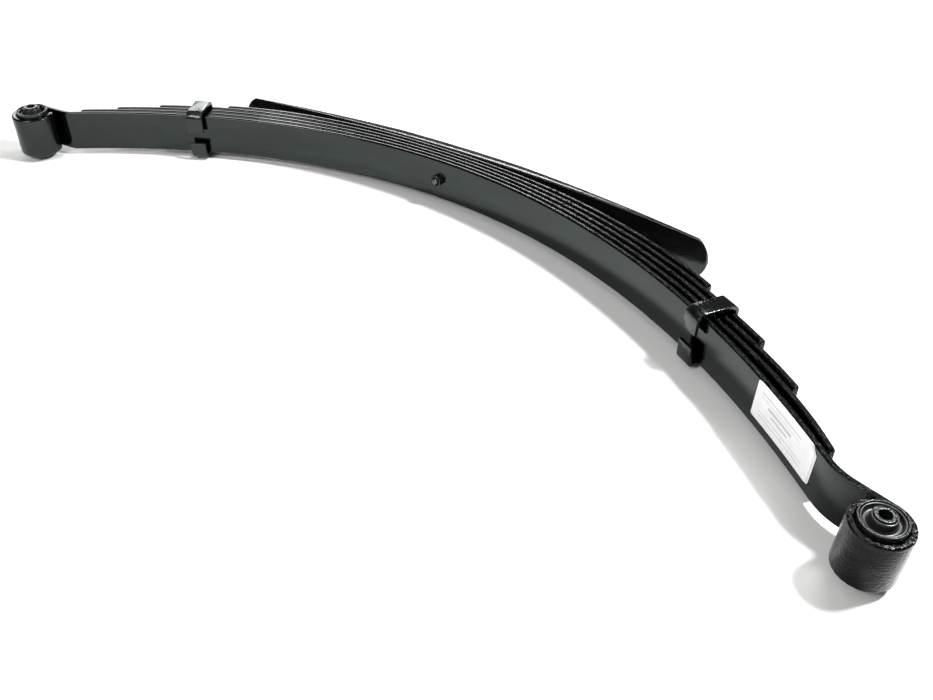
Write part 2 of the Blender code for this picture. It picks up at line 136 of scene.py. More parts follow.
BOLT_RADIUS = 0.0050
BOLT_CHAMFER = 0.001
BOLT_HEAD_RADIUS = 0.0085
BOLT_HEAD_HEIGHT = 0.008
BOLT_TIP = 0.0105
THREAD_PITCH = 0.00125
THREAD_DEPTH = 0.0006
THREAD_TOP = 0.003
SHANK_END = 0.004
THREAD_LAST = 0.0012  # the last turn ends this far from the bolt's tip
TIP_NARROWS = 0.0004
NUT_FLATS = 0.017
NUT_HEIGHT = 0.008
NUT_FACE_STEP = 0.0002  # how far the round end face stands in from the flats
NUT_CHAMFER = 0.0013
RIVET_RADIUS = 0.0047
RIVET_HEAD_RADIUS = 0.008
RIVET_HEAD_HEIGHT = 0.004
RIVET_RIM = 0.15  # the head's height at its rim, as a share of its full height
RIVET_TURNS = 12

# heights past the leaf's edge are the same at both ends of a bush
SLEEVE_WALL = 0.0020
SLEEVE_PAST = 0.0053
SLEEVE_ROUND = 0.0006
INNER_RADIUS = 0.01025
INNER_BORE = 0.0063
INNER_PAST = 0.011
LIP_PAST, LIP_WIDTH, LIP_FOOT = 0.0090, 0.0022, 0.0040
GROOVE_PAST = -0.0010
RIM_PAST, RIM_WIDTH, RIM_FOOT = 0.0042, 0.0020, 0.0036
RUBBER_ROUND = 0.0012

LABEL_FROM = 0.629
LABEL_TO = 0.741
LABEL_LOW = 0.014
LABEL_HIGH = 0.063
LABEL_THICKNESS = 0.0003
LABEL_CUT = 0.009  # off the upper rear corner
LABEL_CORNER = 0.003
BACKING_SHIFT = 0.0025
# low z, high z, start and end along the leaf of each rule on the label
LABEL_RULES = [
    (0.052, 0.0535, 0.640, 0.716),
    (0.047, 0.0478, 0.640, 0.716),
    (0.040, 0.0436, 0.655, 0.700),
    (0.034, 0.0366, 0.662, 0.694),
    (0.027, 0.0280, 0.640, 0.726),
    (0.022, 0.0230, 0.640, 0.726),
]
LABEL_INK = (0.22, 0.23, 0.24, 1)
LABEL_INK_STRENGTH = 0.65

PAINT_TINT = (0.88, 1.0, 0.98, 1)
FLOOR_COLOUR = (0.8, 0.802, 0.79, 1)
FLOOR_SIZE = 30
# how bright the surroundings are at each height, from 0 at the horizon to 1 overhead
WORLD_TONES = [(0.0, 0.4), (0.12, 0.4), (0.25, 0.05), (1.0, 0.05)]
WORLD_RED = 0.97  # against the other two colours
# name, place, aim, size and power of each light
LIGHTS = [
    ("overhead", (-0.6, -0.3, 2.4), (-0.4, 0, 0), (2.0, 1.6), 8),
    ("key", (1.25, 0.6, 1.7), (0.4, -0.1, 0), (0.3, 0.3), 84),
    ("front_fill", (-0.3, -1.6, 1.3), (0.1, 0, 0), (1.2, 0.8), 30),
    ("back_left", (-2.5, 1.36, 1.1), (-0.55, 0, 0.07), (1.6, 0.6), 16),
    ("back_middle", (-1.3, 1.98, 1.31), (0, 0.1, 0.07), (1.6, 0.25), 22),
    ("back_right", (0.4, 1.5, 2.25), (0.6, -0.1, 0.07), (1.1, 0.28), 32),
]
# where the camera stands in the spring's axes, and how it is turned
CAMERA_PLACE = Vector((0.7297, -1.0307, 0.7053))
CAMERA_YAW, CAMERA_PITCH, CAMERA_ROLL = -0.5771, 0.6727, -0.0224
CAMERA_LENS = 35.51

bolt_low, bolt_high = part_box("centre_bolt")
bolt_middle = (bolt_low + bolt_high) / 2
SHIFT = Vector((bolt_middle.x, bolt_low.y + BOLT_TIP, bolt_middle.z - WIDTH / 2))

# ---------------------------------------------------------------- the leaves' curves


def heading_at(length):
    """Angle of the main leaf's face to the X axis, before the reverse bend."""
    return CURVATURE * length - CURVATURE_FALL * length**3 / 3


def main_length(side):
    """Length of half the main leaf, from the bolt round the eye to the rolled tip."""
    return BEND_START[side] + BEND_LENGTH[side] + STRAIGHT[side] + EYE_RADIUS * EYE_WRAP


def main_heading(side, lengths):
    """Angle of the whole main leaf's face: arch, reverse bend, straight, then the eye."""
    start = BEND_START[side]
    heading = heading_at(np.minimum(lengths, start))
    heading = heading - BEND_ANGLE[side] * np.clip((lengths - start) / BEND_LENGTH[side], 0, 1)
    eye_start = start + BEND_LENGTH[side] + STRAIGHT[side]
    return heading + np.maximum(lengths - eye_start, 0) / EYE_RADIUS


def trace(side):
    """Fine table of (length, x, y, heading) down one half of the main leaf."""
    lengths = np.linspace(0, main_length(side), TRACE_POINTS)
    headings = main_heading(side, lengths)
    middles = (headings[1:] + headings[:-1]) / 2
    step = lengths[1]
    x = side * np.concatenate([[0], np.cumsum(np.cos(middles)) * step])
    y = -np.concatenate([[0], np.cumsum(np.sin(middles)) * step])
    return lengths, x, y, headings


TRACES = {side: trace(side) for side in (FRONT, REAR)}


def face_point(side, length):
    """(x, y, normal x, normal y) on the main leaf's concave face; the normal points to the convex side."""
    lengths, xs, ys, headings = TRACES[side]
    heading = float(np.interp(length, lengths, headings))
    x = float(np.interp(length, lengths, xs))
    y = float(np.interp(length, lengths, ys))
    return x, y, side * sin(heading), cos(heading)


def eye_centre(side):
    """Centre of an eye, halfway up the leaf."""
    x, y, nx, ny = face_point(side, BEND_START[side] + BEND_LENGTH[side] + STRAIGHT[side])
    return Vector((x - EYE_RADIUS * nx, y - EYE_RADIUS * ny, WIDTH / 2))


def extra_gap(length, tip):
    """How far two leaves stand apart, from none at the bolt to none at the shorter one's tip."""
    share = min(length / tip, 1)
    return FAN * HUMP * share**2 * (1 - share)


def rear_gap(length, name):
    """What the rear half adds: each tip's own lift, and leaf 2's bow past the clip."""
    tip = TIPS[name][1]
    gap = REAR_LIFT[name] * min(length / tip, 1) ** 3
    if name == "leaf_2" and length > CLIP_AT[REAR]:
        share = min((length - CLIP_AT[REAR]) / (tip - CLIP_AT[REAR]), 1)
        gap += REAR_BOW * HUMP * share**2 * (1 - share)
    return gap


def leaf_offset(side, length, name):
    """Distance from the main leaf's concave face to this leaf's concave face."""
    offset = 0.0
    if name == "main_leaf":
        return offset
    for other, tips in TIPS.items():
        offset += THICKNESS + GAP + extra_gap(length, tips[side > 0])
        if side == REAR:
            offset += rear_gap(length, other)
        if other == name:
            break
    return offset


def overload_face(x):
    """Y of the overload leaf's inner face."""
    return OVERLOAD_AT_BOLT + OVERLOAD_TILT * x - OVERLOAD_CURVATURE * x**2 / 2


def overload_thickness(x):
    tip = OVERLOAD_TIPS[int(x > 0)]
    share = max(abs(x) - OVERLOAD_FULL_LENGTH, 0) / (tip - OVERLOAD_FULL_LENGTH)
    return OVERLOAD_THICKNESS + (OVERLOAD_TIP_THICKNESS - OVERLOAD_THICKNESS) * share


def at(side, length, offset, z):
    """A point in the frame's axes, off the main leaf's concave face by offset."""
    x, y, nx, ny = face_point(side, length)
    return SHIFT + Vector((x + offset * nx, y + offset * ny, z))


# ---------------------------------------------------------------- meshes


def link(name, mesh, look):
    """Adds a mesh to the scene with one material."""
    obj = bpy.data.objects.new(name, mesh)
    bpy.context.scene.collection.objects.link(obj)
    mesh.materials.append(look)
    return obj


def round_section(low, high, thickness, corner, crown):
    """(depth, z) round a bar's section with rounded corners, from the middle of its lower edge.

    The crown is how far each long edge falls away from its highest line, and that line's share of the depth.
    """
    corner = max(min(corner, thickness / 2.05, (high - low) / 2.05), 1e-5)
    centres = [
        (corner, low + corner, 1.5, 1.0),
        (corner, high - corner, 1.0, 0.5),
        (thickness - corner, high - corner, 0.5, 0.0),
        (thickness - corner, low + corner, 0.0, -0.5),
    ]
    points = [(thickness / 2, low)]
    for depth, z, start, end in centres:
        for turn in range(TURNS):
            angle = pi * (start + (end - start) * turn / (TURNS - 1))
            points.append((depth + corner * cos(angle), z + corner * sin(angle)))
    middle = (low + high) / 2
    fall, apex = min(crown[0], (high - low) / 8), crown[1]
    rounded = []
    for depth, z in points:
        share = (depth / thickness - apex) / max(apex, 1 - apex)
        inwards = -1 if z > middle else 1
        rounded.append((depth, z + inwards * fall * share**2))
    return rounded


def bar(name, stations, look, uv_shift, crown):
    """A solid bar from stations (place along, origin x, y, normal x, y, low z, high z, thickness, inset).

    Its UV map holds metres along the bar and metres round its section.
    """
    rings = []
    for _, x, y, nx, ny, low, high, thick, inset in stations:
        section = round_section(low + inset, high - inset, thick - 2 * inset, EDGE_ROUND - 0.5 * inset, crown)
        ring = [(x + (inset + d) * nx, y + (inset + d) * ny, z) for d, z in section]
        rings.append(ring)
    count = len(rings[0])
    bm = bmesh.new()
    verts = [[bm.verts.new(SHIFT + Vector(point)) for point in ring] for ring in rings]
    uv = bm.loops.layers.uv.new("metres")
    widest = np.array(round_section(0, WIDTH, stations[len(stations) // 2][7], EDGE_ROUND, crown))
    around = np.linalg.norm(np.diff(np.vstack([widest, widest[:1]]), axis=0), axis=1)
    around = np.concatenate([[0], np.cumsum(around)])
    for i in range(len(rings) - 1):
        for j in range(count):
            k = (j + 1) % count
            face = bm.faces.new((verts[i][j], verts[i][k], verts[i + 1][k], verts[i + 1][j]))
            places = (stations[i][0], stations[i][0], stations[i + 1][0], stations[i + 1][0])
            turns = (around[j], around[j + 1], around[j + 1], around[j])
            for loop, along, turn in zip(face.loops, places, turns):
                loop[uv].uv = (along, turn + uv_shift)
    for ring, station in ((verts[0], stations[0]), (verts[-1], stations[-1])):
        cap = bm.faces.new(ring)
        for loop in cap.loops:
            loop[uv].uv = (station[0], loop.vert.co.z + uv_shift)
    bmesh.ops.recalc_face_normals(bm, faces=bm.faces[:])
    mesh = bpy.data.meshes.new(name)
    bm.to_mesh(mesh)
    bm.free()
    mesh.shade_smooth()
    mesh.set_sharp_from_angle(angle=radians(40))
    return link(name, mesh, look)


def bite(radius, depth):
    """How far a quarter round of this radius is cut back at this depth from the tip."""
    if depth >= radius:
        return 0.0
    return radius - sqrt(radius**2 - (radius - depth) ** 2)


def lengths_between(start, end, tip=None):
    """Section places from start to end; near the leaf's tip they crowd together."""
    places = list(np.linspace(start, end, max(2, round(abs(end - start) / STEP) + 1)))
    if tip is None:
        return places
    places = [p for p in places if tip - p > CORNER]
    depths = [CORNER * (1 - cos(pi / 2 * k / CORNER_STEPS)) for k in range(CORNER_STEPS, 0, -1)]
    depths += [TIP_ROUND * (1 - cos(pi / 2 * k / TIP_STEPS)) for k in range(TIP_STEPS, -1, -1)]
    depths = sorted(set(round(d, 7) for d in depths), reverse=True)
    return places + [tip - d for d in depths]


def leaf_stations(side, name, start, end, tip):
    """Stations of one stretch of an arched leaf; a short leaf's tip has rounded corners."""
    stations = []
    ends_here = end >= tip - 1e-9
    for length in lengths_between(start, end, tip if ends_here else None):
        x, y, nx, ny = face_point(side, length)
        offset = leaf_offset(side, length, name)
        left = tip - length
        loss = bite(CORNER, left) if name != "main_leaf" else 0.0
        inset = bite(TIP_ROUND, left)
        stations.append(
            (side * length, x + offset * nx, y + offset * ny, nx, ny, loss, WIDTH - loss, THICKNESS, inset)
        )
    return stations


# ---------------------------------------------------------------- materials


class Nodes:
    """Short calls for building one material's node tree."""

    def __init__(self, name):
        self.material = bpy.data.materials.new(name)
        self.material.use_nodes = True
        self.tree = self.material.node_tree
        self.shader = self.tree.nodes["Principled BSDF"]

    def add(self, kind, **settings):
        node = self.tree.nodes.new("ShaderNode" + kind)
        for key, value in settings.items():
            setattr(node, key, value)
        return node

    def wire(self, out, socket):
        self.tree.links.new(out, socket)

    def feed(self, given, socket):
        """Wires another node's output to a socket, or sets the socket to a number or colour."""
        if isinstance(given, bpy.types.NodeSocket):
            self.wire(given, socket)
        else:
            socket.default_value = given

    def value(self, operation, *inputs):
        node = self.add("Math", operation=operation)
        for place, given in enumerate(inputs):
            self.feed(given, node.inputs[place])
        return node.outputs[0]

    def between(self, given, low, high):
        """1 where a number is between two others, otherwise 0."""
        above = self.value("GREATER_THAN", given, low)
        return self.value("MULTIPLY", above, self.value("LESS_THAN", given, high))

    def place(self, from_uv):
        """Metres along and round a leaf, or metres in the piece's own axes."""
        node = self.add("TexCoord")
        return node.outputs["UV" if from_uv else "Object"]

    def noise(self, vector, scale, detail, roughness, stretch=(1, 1, 1)):
        """Soft noise with this many lumps to a metre; a larger stretch makes them shorter that way."""
        mapping = self.add("Mapping")
        mapping.inputs["Scale"].default_value = stretch
        self.wire(vector, mapping.inputs["Vector"])
        node = self.add("TexNoise")
        node.inputs["Scale"].default_value = scale
        node.inputs["Detail"].default_value = detail
        node.inputs["Roughness"].default_value = roughness
        self.wire(mapping.outputs[0], node.inputs["Vector"])
        return node.outputs["Fac"]

    def ramp(self, factor, stops):
        node = self.add("ValToRGB")
        elements = node.color_ramp.elements
        while len(elements) < len(stops):
            elements.new(0.5)
        for element, (place, colour) in zip(elements, stops):
            element.position = place
            element.color = (*colour, 1)
        self.wire(factor, node.inputs["Fac"])
        return node.outputs["Color"]

    def blend(self, factor, first, second):
        """Mixes two numbers or two colours."""
        node = self.add("Mix", data_type="RGBA" if first.type == "RGBA" else "FLOAT")
        for name, given in (("Factor", factor), ("A", first), ("B", second)):
            self.feed(given, node.inputs[name])
        return node.outputs["Result"]

    def scale_to(self, factor, low, high, start, end):
        """Takes a factor's range from start to end to the range from low to high."""
        node = self.add("MapRange")
        node.inputs["From Min"].default_value = start
        node.inputs["From Max"].default_value = end
        node.inputs["To Min"].default_value = low
        node.inputs["To Max"].default_value = high
        self.wire(factor, node.inputs["Value"])
        return node.outputs["Result"]

    def bump(self, heights):
        """Heights are (factor, strength, distance), one over the other."""
        normal = None
        for factor, strength, distance in heights:
            node = self.add("Bump")
            node.inputs["Distance"].default_value = distance
            self.feed(strength, node.inputs["Strength"])
            self.wire(factor, node.inputs["Height"])
            if normal is not None:
                self.wire(normal, node.inputs["Normal"])
            normal = node.outputs["Normal"]
        self.wire(normal, self.shader.inputs["Normal"])


def grey(value):
    return value, value, value


def tinted(made):
    """The faint green in what the dark finishes reflect."""
    made.shader.inputs["Specular Tint"].default_value = PAINT_TINT


def leaf_paint():
    """Gloss black paint on rolled steel: smooth on the faces, thick and lumpy on the edges, which are painted
    darker as shade.

    Its colour is its reflectance, as a metal's is. The edges are painted to reflect less than the faces, and
    the grainy edges and eye of the rear half least of all: painted shade for the dark surroundings and
    shadowed floor they reflect.
    """
    made = Nodes("leaf_paint")
    where = made.place(from_uv=True)
    marks = [made.add("Attribute", attribute_name=name) for name in ("edge", "lumpy", "grainy_and_shaded")]
    edge, lumpy, grainy_and_shaded = [mark.outputs["Fac"] for mark in marks]
    soft = made.noise(where, 9, 3, 0.55, (1, 2.5, 1))
    scale = made.noise(where, 420, 2, 0.6)
    grit = made.noise(where, 380, 2, 0.6)
    lumps = made.noise(where, 300, 2, 0.55, (0.5, 1.2, 1))
    drips = made.noise(where, 45, 2, 0.5, (0.6, 1.4, 1))
    face_colour = made.ramp(soft, [(0.3, (0.034, 0.039, 0.038)), (0.75, (0.041, 0.047, 0.048))])
    # edges and tips are painted darker than the faces, rough edges and the rear eye darker still: painted
    # shade for the dark surroundings and shadowed floor they reflect
    shaded_edge_colour = made.ramp(drips, [(0.3, grey(0.018)), (0.8, grey(0.032))])
    shaded_grainy_colour = made.ramp(drips, [(0.3, grey(0.008)), (0.8, grey(0.018))])
    outer_colour = made.blend(grainy_and_shaded, shaded_edge_colour, shaded_grainy_colour)
    made.wire(made.blend(edge, face_colour, outer_colour), made.shader.inputs["Base Color"])
    face_rough = made.scale_to(soft, 0.12, 0.20, 0.25, 0.8)
    edge_rough = made.scale_to(drips, 0.06, 0.16, 0.25, 0.8)
    made.wire(made.blend(edge, face_rough, edge_rough), made.shader.inputs["Roughness"])
    made.shader.inputs["Metallic"].default_value = 1.0
    made.bump([
        (scale, 0.015, 0.00025),
        (soft, 0.2, 0.0015),
        (grit, grainy_and_shaded, 0.0008),
        (lumps, lumpy, 0.0010),
    ])
    return made.material


def gloss_paint():
    """The overload leaf's smooth glossy black."""
    made = Nodes("overload_paint")
    tinted(made)
    where = made.place(from_uv=True)
    soft = made.noise(where, 14, 2, 0.5)
    lumps = made.noise(where, 60, 2, 0.5)
    grit = made.noise(where, 420, 3, 0.6)
    made.wire(made.ramp(soft, [(0.3, grey(0.003)), (0.8, grey(0.006))]), made.shader.inputs["Base Color"])
    made.wire(made.scale_to(soft, 0.10, 0.2, 0.25, 0.8), made.shader.inputs["Roughness"])
    made.bump([(lumps, 0.3, 0.0012), (grit, 0.25, 0.0004)])
    return made.material


def metal(name, dark, light, rough, metallic=1.0, scale=120, bump=0.3):
    """Bare, blackened or painted metal with a little mottling; scale is its patches to a metre."""
    made = Nodes(name)
    tinted(made)
    where = made.place(from_uv=False)
    mottle = made.noise(where, scale, 3, 0.6)
    fine = made.noise(where, scale * 4, 2, 0.5)
    made.wire(made.ramp(mottle, [(0.3, dark), (0.75, light)]), made.shader.inputs["Base Color"])
    made.wire(made.scale_to(mottle, rough[0], rough[1], 0.3, 0.75), made.shader.inputs["Roughness"])
    made.shader.inputs["Metallic"].default_value = metallic
    made.bump([(mottle, bump, 0.0010), (fine, bump, 0.0003)])
    return made.material


def rubber_look():
    """Black rubber with a fine grain."""
    made = Nodes("bush_rubber")
    where = made.place(from_uv=False)
    soft = made.noise(where, 90, 3, 0.6)
    grain = made.noise(where, 1600, 2, 0.5)
    made.wire(made.ramp(soft, [(0.3, grey(0.004)), (0.8, grey(0.010))]), made.shader.inputs["Base Color"])
    made.wire(made.scale_to(soft, 0.25, 0.45, 0.3, 0.8), made.shader.inputs["Roughness"])
    made.bump([(grain, 0.25, 0.0002), (soft, 0.2, 0.0006)])
    return made.material


def label_look():
    """White film with plain grey rules along it, which stand for print."""
    made = Nodes("label_film")
    where = made.place(from_uv=True)
    split = made.add("SeparateXYZ")
    made.wire(where, split.inputs[0])
    along, across = split.outputs["X"], split.outputs["Y"]
    ink = None
    for low, high, start, end in LABEL_RULES:
        rule = made.value("MULTIPLY", made.between(across, low, high), made.between(along, start, end))
        ink = rule if ink is None else made.value("MAXIMUM", ink, rule)
    soft = made.noise(where, 60, 2, 0.5)
    paper = made.ramp(soft, [(0.3, grey(0.60)), (0.8, grey(0.68))])
    printed = made.blend(made.value("MULTIPLY", ink, LABEL_INK_STRENGTH), paper, LABEL_INK)
    made.wire(printed, made.shader.inputs["Base Color"])
    made.wire(made.scale_to(soft, 0.35, 0.5, 0.3, 0.8), made.shader.inputs["Roughness"])
    made.bump([(soft, 0.15, 0.0006)])
    return made.material


# ---------------------------------------------------------------- leaves


def mark_points(obj, stations, side, name, tip):
    """Three numbers on each point, for the paint: on an edge or the rear eye, lumpy, and grainy; the first
    and the last also paint shade, darkening the colour.
    """
    z = np.array([v.co.z for v in obj.data.vertices]) - SHIFT.z
    near = np.minimum(z, WIDTH - z)
    along = np.repeat([station[0] for station in stations], len(z) // len(stations))
    # the edge mark also paints shade: it darkens the colour of edges and tips
    edge = np.clip(1 - (near - EDGE_PAINT_AND_SHADE) / EDGE_FADE, 0, 1)
    edge = np.maximum(edge, np.clip((abs(along) - tip + TIP_PAINT_AND_SHADE) / TIP_FADE, 0, 1))
    # the rear eye is painted darker: painted shade for the shadowed floor it reflects
    eye = np.zeros(len(z))
    if name == "main_leaf" and side == REAR:
        eye = np.clip((along - BEND_START[REAR] + EYE_PAINT_AND_SHADE) / EYE_FADE, 0, 1)
    rough_end = ROUGH_LEAST + (1 - ROUGH_LEAST) * np.clip((along - ROUGH_FROM) / ROUGH_FADE, 0, 1)
    marks = {
        "edge": np.maximum(edge, eye),
        "lumpy": edge * rough_end,
        "grainy_and_shaded": np.maximum(edge * rough_end, eye),
    }
    for mark, values in marks.items():
        attribute = obj.data.attributes.new(mark, "FLOAT", "POINT")
        attribute.data.foreach_set("value", values.astype(np.float32))


def bend_between(obj):
    """Bakes a piece's place into its mesh; nothing here bends it with the half's inner hinge (bolt to clip)
    or outer one (clip to eye).
    """
    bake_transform(obj)


def add_leaves(look):
    """Each leaf in pieces that meet at the bolt and under the clips, so that each crosses one hinge."""
    for place, name in enumerate(["main_leaf", *TIPS]):
        pieces = []
        for side in (FRONT, REAR):
            tip = main_length(side) if name == "main_leaf" else TIPS[name][side > 0]
            clip = CLIP_AT[side]
            spans = [(0.0, min(clip, tip), "inner")]
            if tip > clip:
                spans.append((clip, tip, "outer"))
            for start, end, part in spans:
                stations = leaf_stations(side, name, start, end, tip)
                piece = bar(f"{name}_{NAMES[side]}_{part}", stations, look, LEAF_UV_SHIFT * place, EDGE_CROWN)
                mark_points(piece, stations, side, name, tip)
                bend_between(piece)
                pieces.append(piece)
        for piece in pieces:
            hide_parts(name)


def overload_places():
    """Section places along the overload leaf, close together in its round ends."""
    front, rear = OVERLOAD_TIPS
    widest = np.arcsin(WIDTH / 2 / OVERLOAD_END_RADIUS)
    shares = [(k + END_FIRST) / (END_STEPS + END_FIRST) for k in range(END_STEPS, -1, -1)]
    ends = [OVERLOAD_END_RADIUS * (1 - cos(widest * share)) for share in shares]
    places = [-front + d for d in reversed(ends)]
    inner_front, inner_rear = -front + ends[0], rear - ends[0]
    count = round((inner_rear - inner_front) / STEP)
    places += list(np.linspace(inner_front, inner_rear, count + 1))[1:-1]
    places += [rear - d for d in ends]
    return places


def add_overload(look):
    """The thick overload leaf, in one piece."""
    stations = []
    for x in overload_places():
        left = min(x + OVERLOAD_TIPS[0], OVERLOAD_TIPS[1] - x)
        loss = 0.0
        if left < OVERLOAD_END_RADIUS:
            half = sqrt(OVERLOAD_END_RADIUS**2 - (OVERLOAD_END_RADIUS - left) ** 2)
            loss = max(WIDTH / 2 - half, 0.0)
        slope = OVERLOAD_TILT - OVERLOAD_CURVATURE * x
        nx, ny = -sin(np.arctan(slope)), cos(np.arctan(slope))
        thick = overload_thickness(x)
        inset = bite(TIP_ROUND, left)
        stations.append((x, x, overload_face(x), nx, ny, loss, WIDTH - loss, thick, min(inset, 0.3 * thick)))
    piece = bar("overload_leaf_fine", stations, look, OVERLOAD_UV_SHIFT, OVERLOAD_CROWN)
    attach(piece, "leaf_pack")
    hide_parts("overload_leaf")


# ---------------------------------------------------------------- clips


def clip_back(side):
    """Offset of a clip's back from the main leaf's concave face."""
    return leaf_offset(side, CLIP_AT[side], "leaf_4") + THICKNESS + CLIP_BACK_ROOM


def quarter(offset, z, radius, start, steps=8):
    """A quarter turn of points round (offset, z), from an angle given in quarter turns."""
    angles = [pi / 2 * (start + step / steps) for step in range(steps + 1)]
    return [(offset + radius * cos(angle), z + radius * sin(angle)) for angle in angles]


def clip_outline(side):
    """The strap's inner face as (offset, z), from the lower tab's end to the upper leg's end."""
    front, back = -CLIP_LEG_ROOM, clip_back(side)
    low, high = -CLIP_LOW_ROOM, WIDTH + CLIP_HIGH_ROOM
    tight, wide = CLIP_FRONT_LOW_CORNER, CLIP_FRONT_HIGH_CORNER
    under, over = CLIP_BACK_LOW_CORNER, CLIP_BACK_HIGH_CORNER
    points = [(front - CLIP_TAB_LEAN, CLIP_TAB_END[side])]
    points += quarter(front + tight, low + tight, tight, 2)
    points += quarter(back - under, low + under, under, 3)
    points += quarter(back - over, high - over, over, 0)
    points += quarter(front + wide, high - wide, wide, 1)
    points.append((front, CLIP_LEG_END[side]))
    return points


def add_clip(side, look):
    """A strap folded round the leaves, with rounded edges."""
    bm = bmesh.new()
    rows = []
    for across in (-CLIP_WIDTH / 2, CLIP_WIDTH / 2):
        x, y, nx, ny = face_point(side, CLIP_AT[side])
        row = []
        for offset, z in clip_outline(side):
            point = Vector((x + offset * nx + across * ny, y + offset * ny - across * nx, z))
            row.append(bm.verts.new(SHIFT + point))
        rows.append(row)
    for first, second, third, fourth in zip(rows[0], rows[0][1:], rows[1][1:], rows[1]):
        bm.faces.new((fourth, third, second, first))
    mesh = bpy.data.meshes.new("strap")
    bm.to_mesh(mesh)
    bm.free()
    obj = link(NAMES[side] + "_clip_fine", mesh, look)
    solid = obj.modifiers.new("thickness", "SOLIDIFY")
    solid.thickness = CLIP_THICKNESS
    solid.offset = -1
    solid.use_even_offset = True
    edges = obj.modifiers.new("rounded edges", "BEVEL")
    edges.width = CLIP_EDGE
    edges.segments = 3
    edges.limit_method = "ANGLE"
    edges.angle_limit = radians(50)
    obj.data.shade_smooth()
    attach(obj, NAMES[side] + "_clip_section")
    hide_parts(NAMES[side] + "_clip")


# ---------------------------------------------------------------- turned pieces


def turned(name, profile, look, steps=96):
    """A closed profile of (radius, height) turned round Z."""
    bm = bmesh.new()
    ring = [bm.verts.new((radius, 0, height)) for radius, height in profile]
    for first, second in zip(ring, ring[1:] + ring[:1]):
        if first.co.x > 1e-9 or second.co.x > 1e-9:
            bm.edges.new((first, second))
    outline = bm.verts[:] + bm.edges[:]
    axis, centre = (0, 0, 1), (0, 0, 0)
    bmesh.ops.spin(bm, geom=outline, axis=axis, cent=centre, angle=2 * pi, steps=steps, use_merge=True)
    bmesh.ops.remove_doubles(bm, verts=bm.verts[:], dist=1e-6)
    bmesh.ops.recalc_face_normals(bm, faces=bm.faces[:])
    mesh = bpy.data.meshes.new(name)
    bm.to_mesh(mesh)
    bm.free()
    mesh.shade_smooth()
    mesh.set_sharp_from_angle(angle=radians(35))
    return link(name, mesh, look)


def fillet(points, radius, steps=4):
    """A closed outline of (radius, height) points with every corner off the axis rounded."""
    out = []
    count = len(points)
    for i, (r, z) in enumerate(points):
        here = Vector((r, z))
        before = Vector(points[i - 1]) - here
        after = Vector(points[(i + 1) % count]) - here
        reach = min(radius, before.length / 2.2, after.length / 2.2)
        if r < 1e-6 or reach < 1e-6:
            out.append((r, z))
            continue
        start = here + before.normalized() * reach
        end = here + after.normalized() * reach
        for step in range(steps + 1):
            t = step / steps
            point = start * (1 - t) ** 2 + here * 2 * t * (1 - t) + end * t**2
            out.append((point.x, point.y))
    return out


def across_leaf(obj, side, length):
    """Stands a piece made along Z on the leaf, pointing to the convex side."""
    x, y, nx, ny = face_point(side, length)
    turn = Matrix(((ny, 0, nx), (-nx, 0, ny), (0, -1, 0))).to_4x4()
    obj.data.transform(Matrix.Translation(SHIFT + Vector((x, y, WIDTH / 2))) @ turn)
    return obj


def add_sleeve(side, which, inner, outer, past, look, body):
    """A bush's inner or outer tube."""
    low, high = -WIDTH / 2 - past, WIDTH / 2 + past
    profile = fillet([(inner, high), (outer, high), (outer, low), (inner, low)], SLEEVE_ROUND)
    obj = turned(f"{NAMES[side]}_{which}_sleeve_fine", profile, look)
    obj.data.transform(Matrix.Translation(SHIFT + eye_centre(side)))
    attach(obj, body)
    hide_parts(f"{NAMES[side]}_bush_{which}_sleeve")


def add_bush(side, steel, black):
    """Two steel sleeves and the rubber between them, with a lip, a groove and a rim at each end."""
    eye, tube = NAMES[side] + "_eye_end", NAMES[side] + "_eye_sleeve"
    outer = EYE_RADIUS - GAP
    add_sleeve(side, "outer", outer - SLEEVE_WALL, outer, SLEEVE_PAST, steel, eye)
    add_sleeve(side, "inner", INNER_BORE, INNER_RADIUS, INNER_PAST, steel, tube)
    edge = outer - SLEEVE_WALL - GAP
    face = [
        (INNER_RADIUS + GAP, LIP_PAST),
        (INNER_RADIUS + LIP_WIDTH, LIP_PAST),
        (INNER_RADIUS + LIP_FOOT, GROOVE_PAST),
        (edge - RIM_FOOT, GROOVE_PAST),
        (edge - RIM_WIDTH, RIM_PAST),
        (edge, RIM_PAST),
    ]
    top = [(r, WIDTH / 2 + past) for r, past in face]
    bottom = [(r, -WIDTH / 2 - past) for r, past in reversed(face)]
    obj = turned(NAMES[side] + "_rubber_fine", fillet(top + bottom, RUBBER_ROUND), black)
    obj.data.transform(Matrix.Translation(SHIFT + eye_centre(side)))
    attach(obj, eye)
    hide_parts(NAMES[side] + "_bush_rubber")


def add_bolt(steel):
    """The centre bolt: round locating head on the convex side, threaded end at the nut."""
    seat = OVERLOAD_AT_BOLT + OVERLOAD_THICKNESS + GAP
    top = seat + BOLT_HEAD_HEIGHT
    root = BOLT_RADIUS - THREAD_DEPTH
    profile = [(0, top), (BOLT_HEAD_RADIUS - BOLT_CHAMFER, top), (BOLT_HEAD_RADIUS, top - BOLT_CHAMFER)]
    profile += [(BOLT_HEAD_RADIUS, seat), (BOLT_RADIUS, seat), (BOLT_RADIUS, SHANK_END)]
    height = THREAD_TOP
    while height > -BOLT_TIP + THREAD_LAST:
        profile += [(root, height), (BOLT_RADIUS, height - THREAD_PITCH / 2)]
        height -= THREAD_PITCH
    profile += [(root - TIP_NARROWS, -BOLT_TIP), (0, -BOLT_TIP)]
    obj = across_leaf(turned("centre_bolt_fine", profile, steel, 48), REAR, 0)
    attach(obj, "leaf_pack")
    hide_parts("centre_bolt")


def bake(obj):
    """Applies an object's modifiers to its mesh."""
    graph = bpy.context.evaluated_depsgraph_get()
    mesh = bpy.data.meshes.new_from_object(obj.evaluated_get(graph))
    obj.modifiers.clear()
    obj.data = mesh


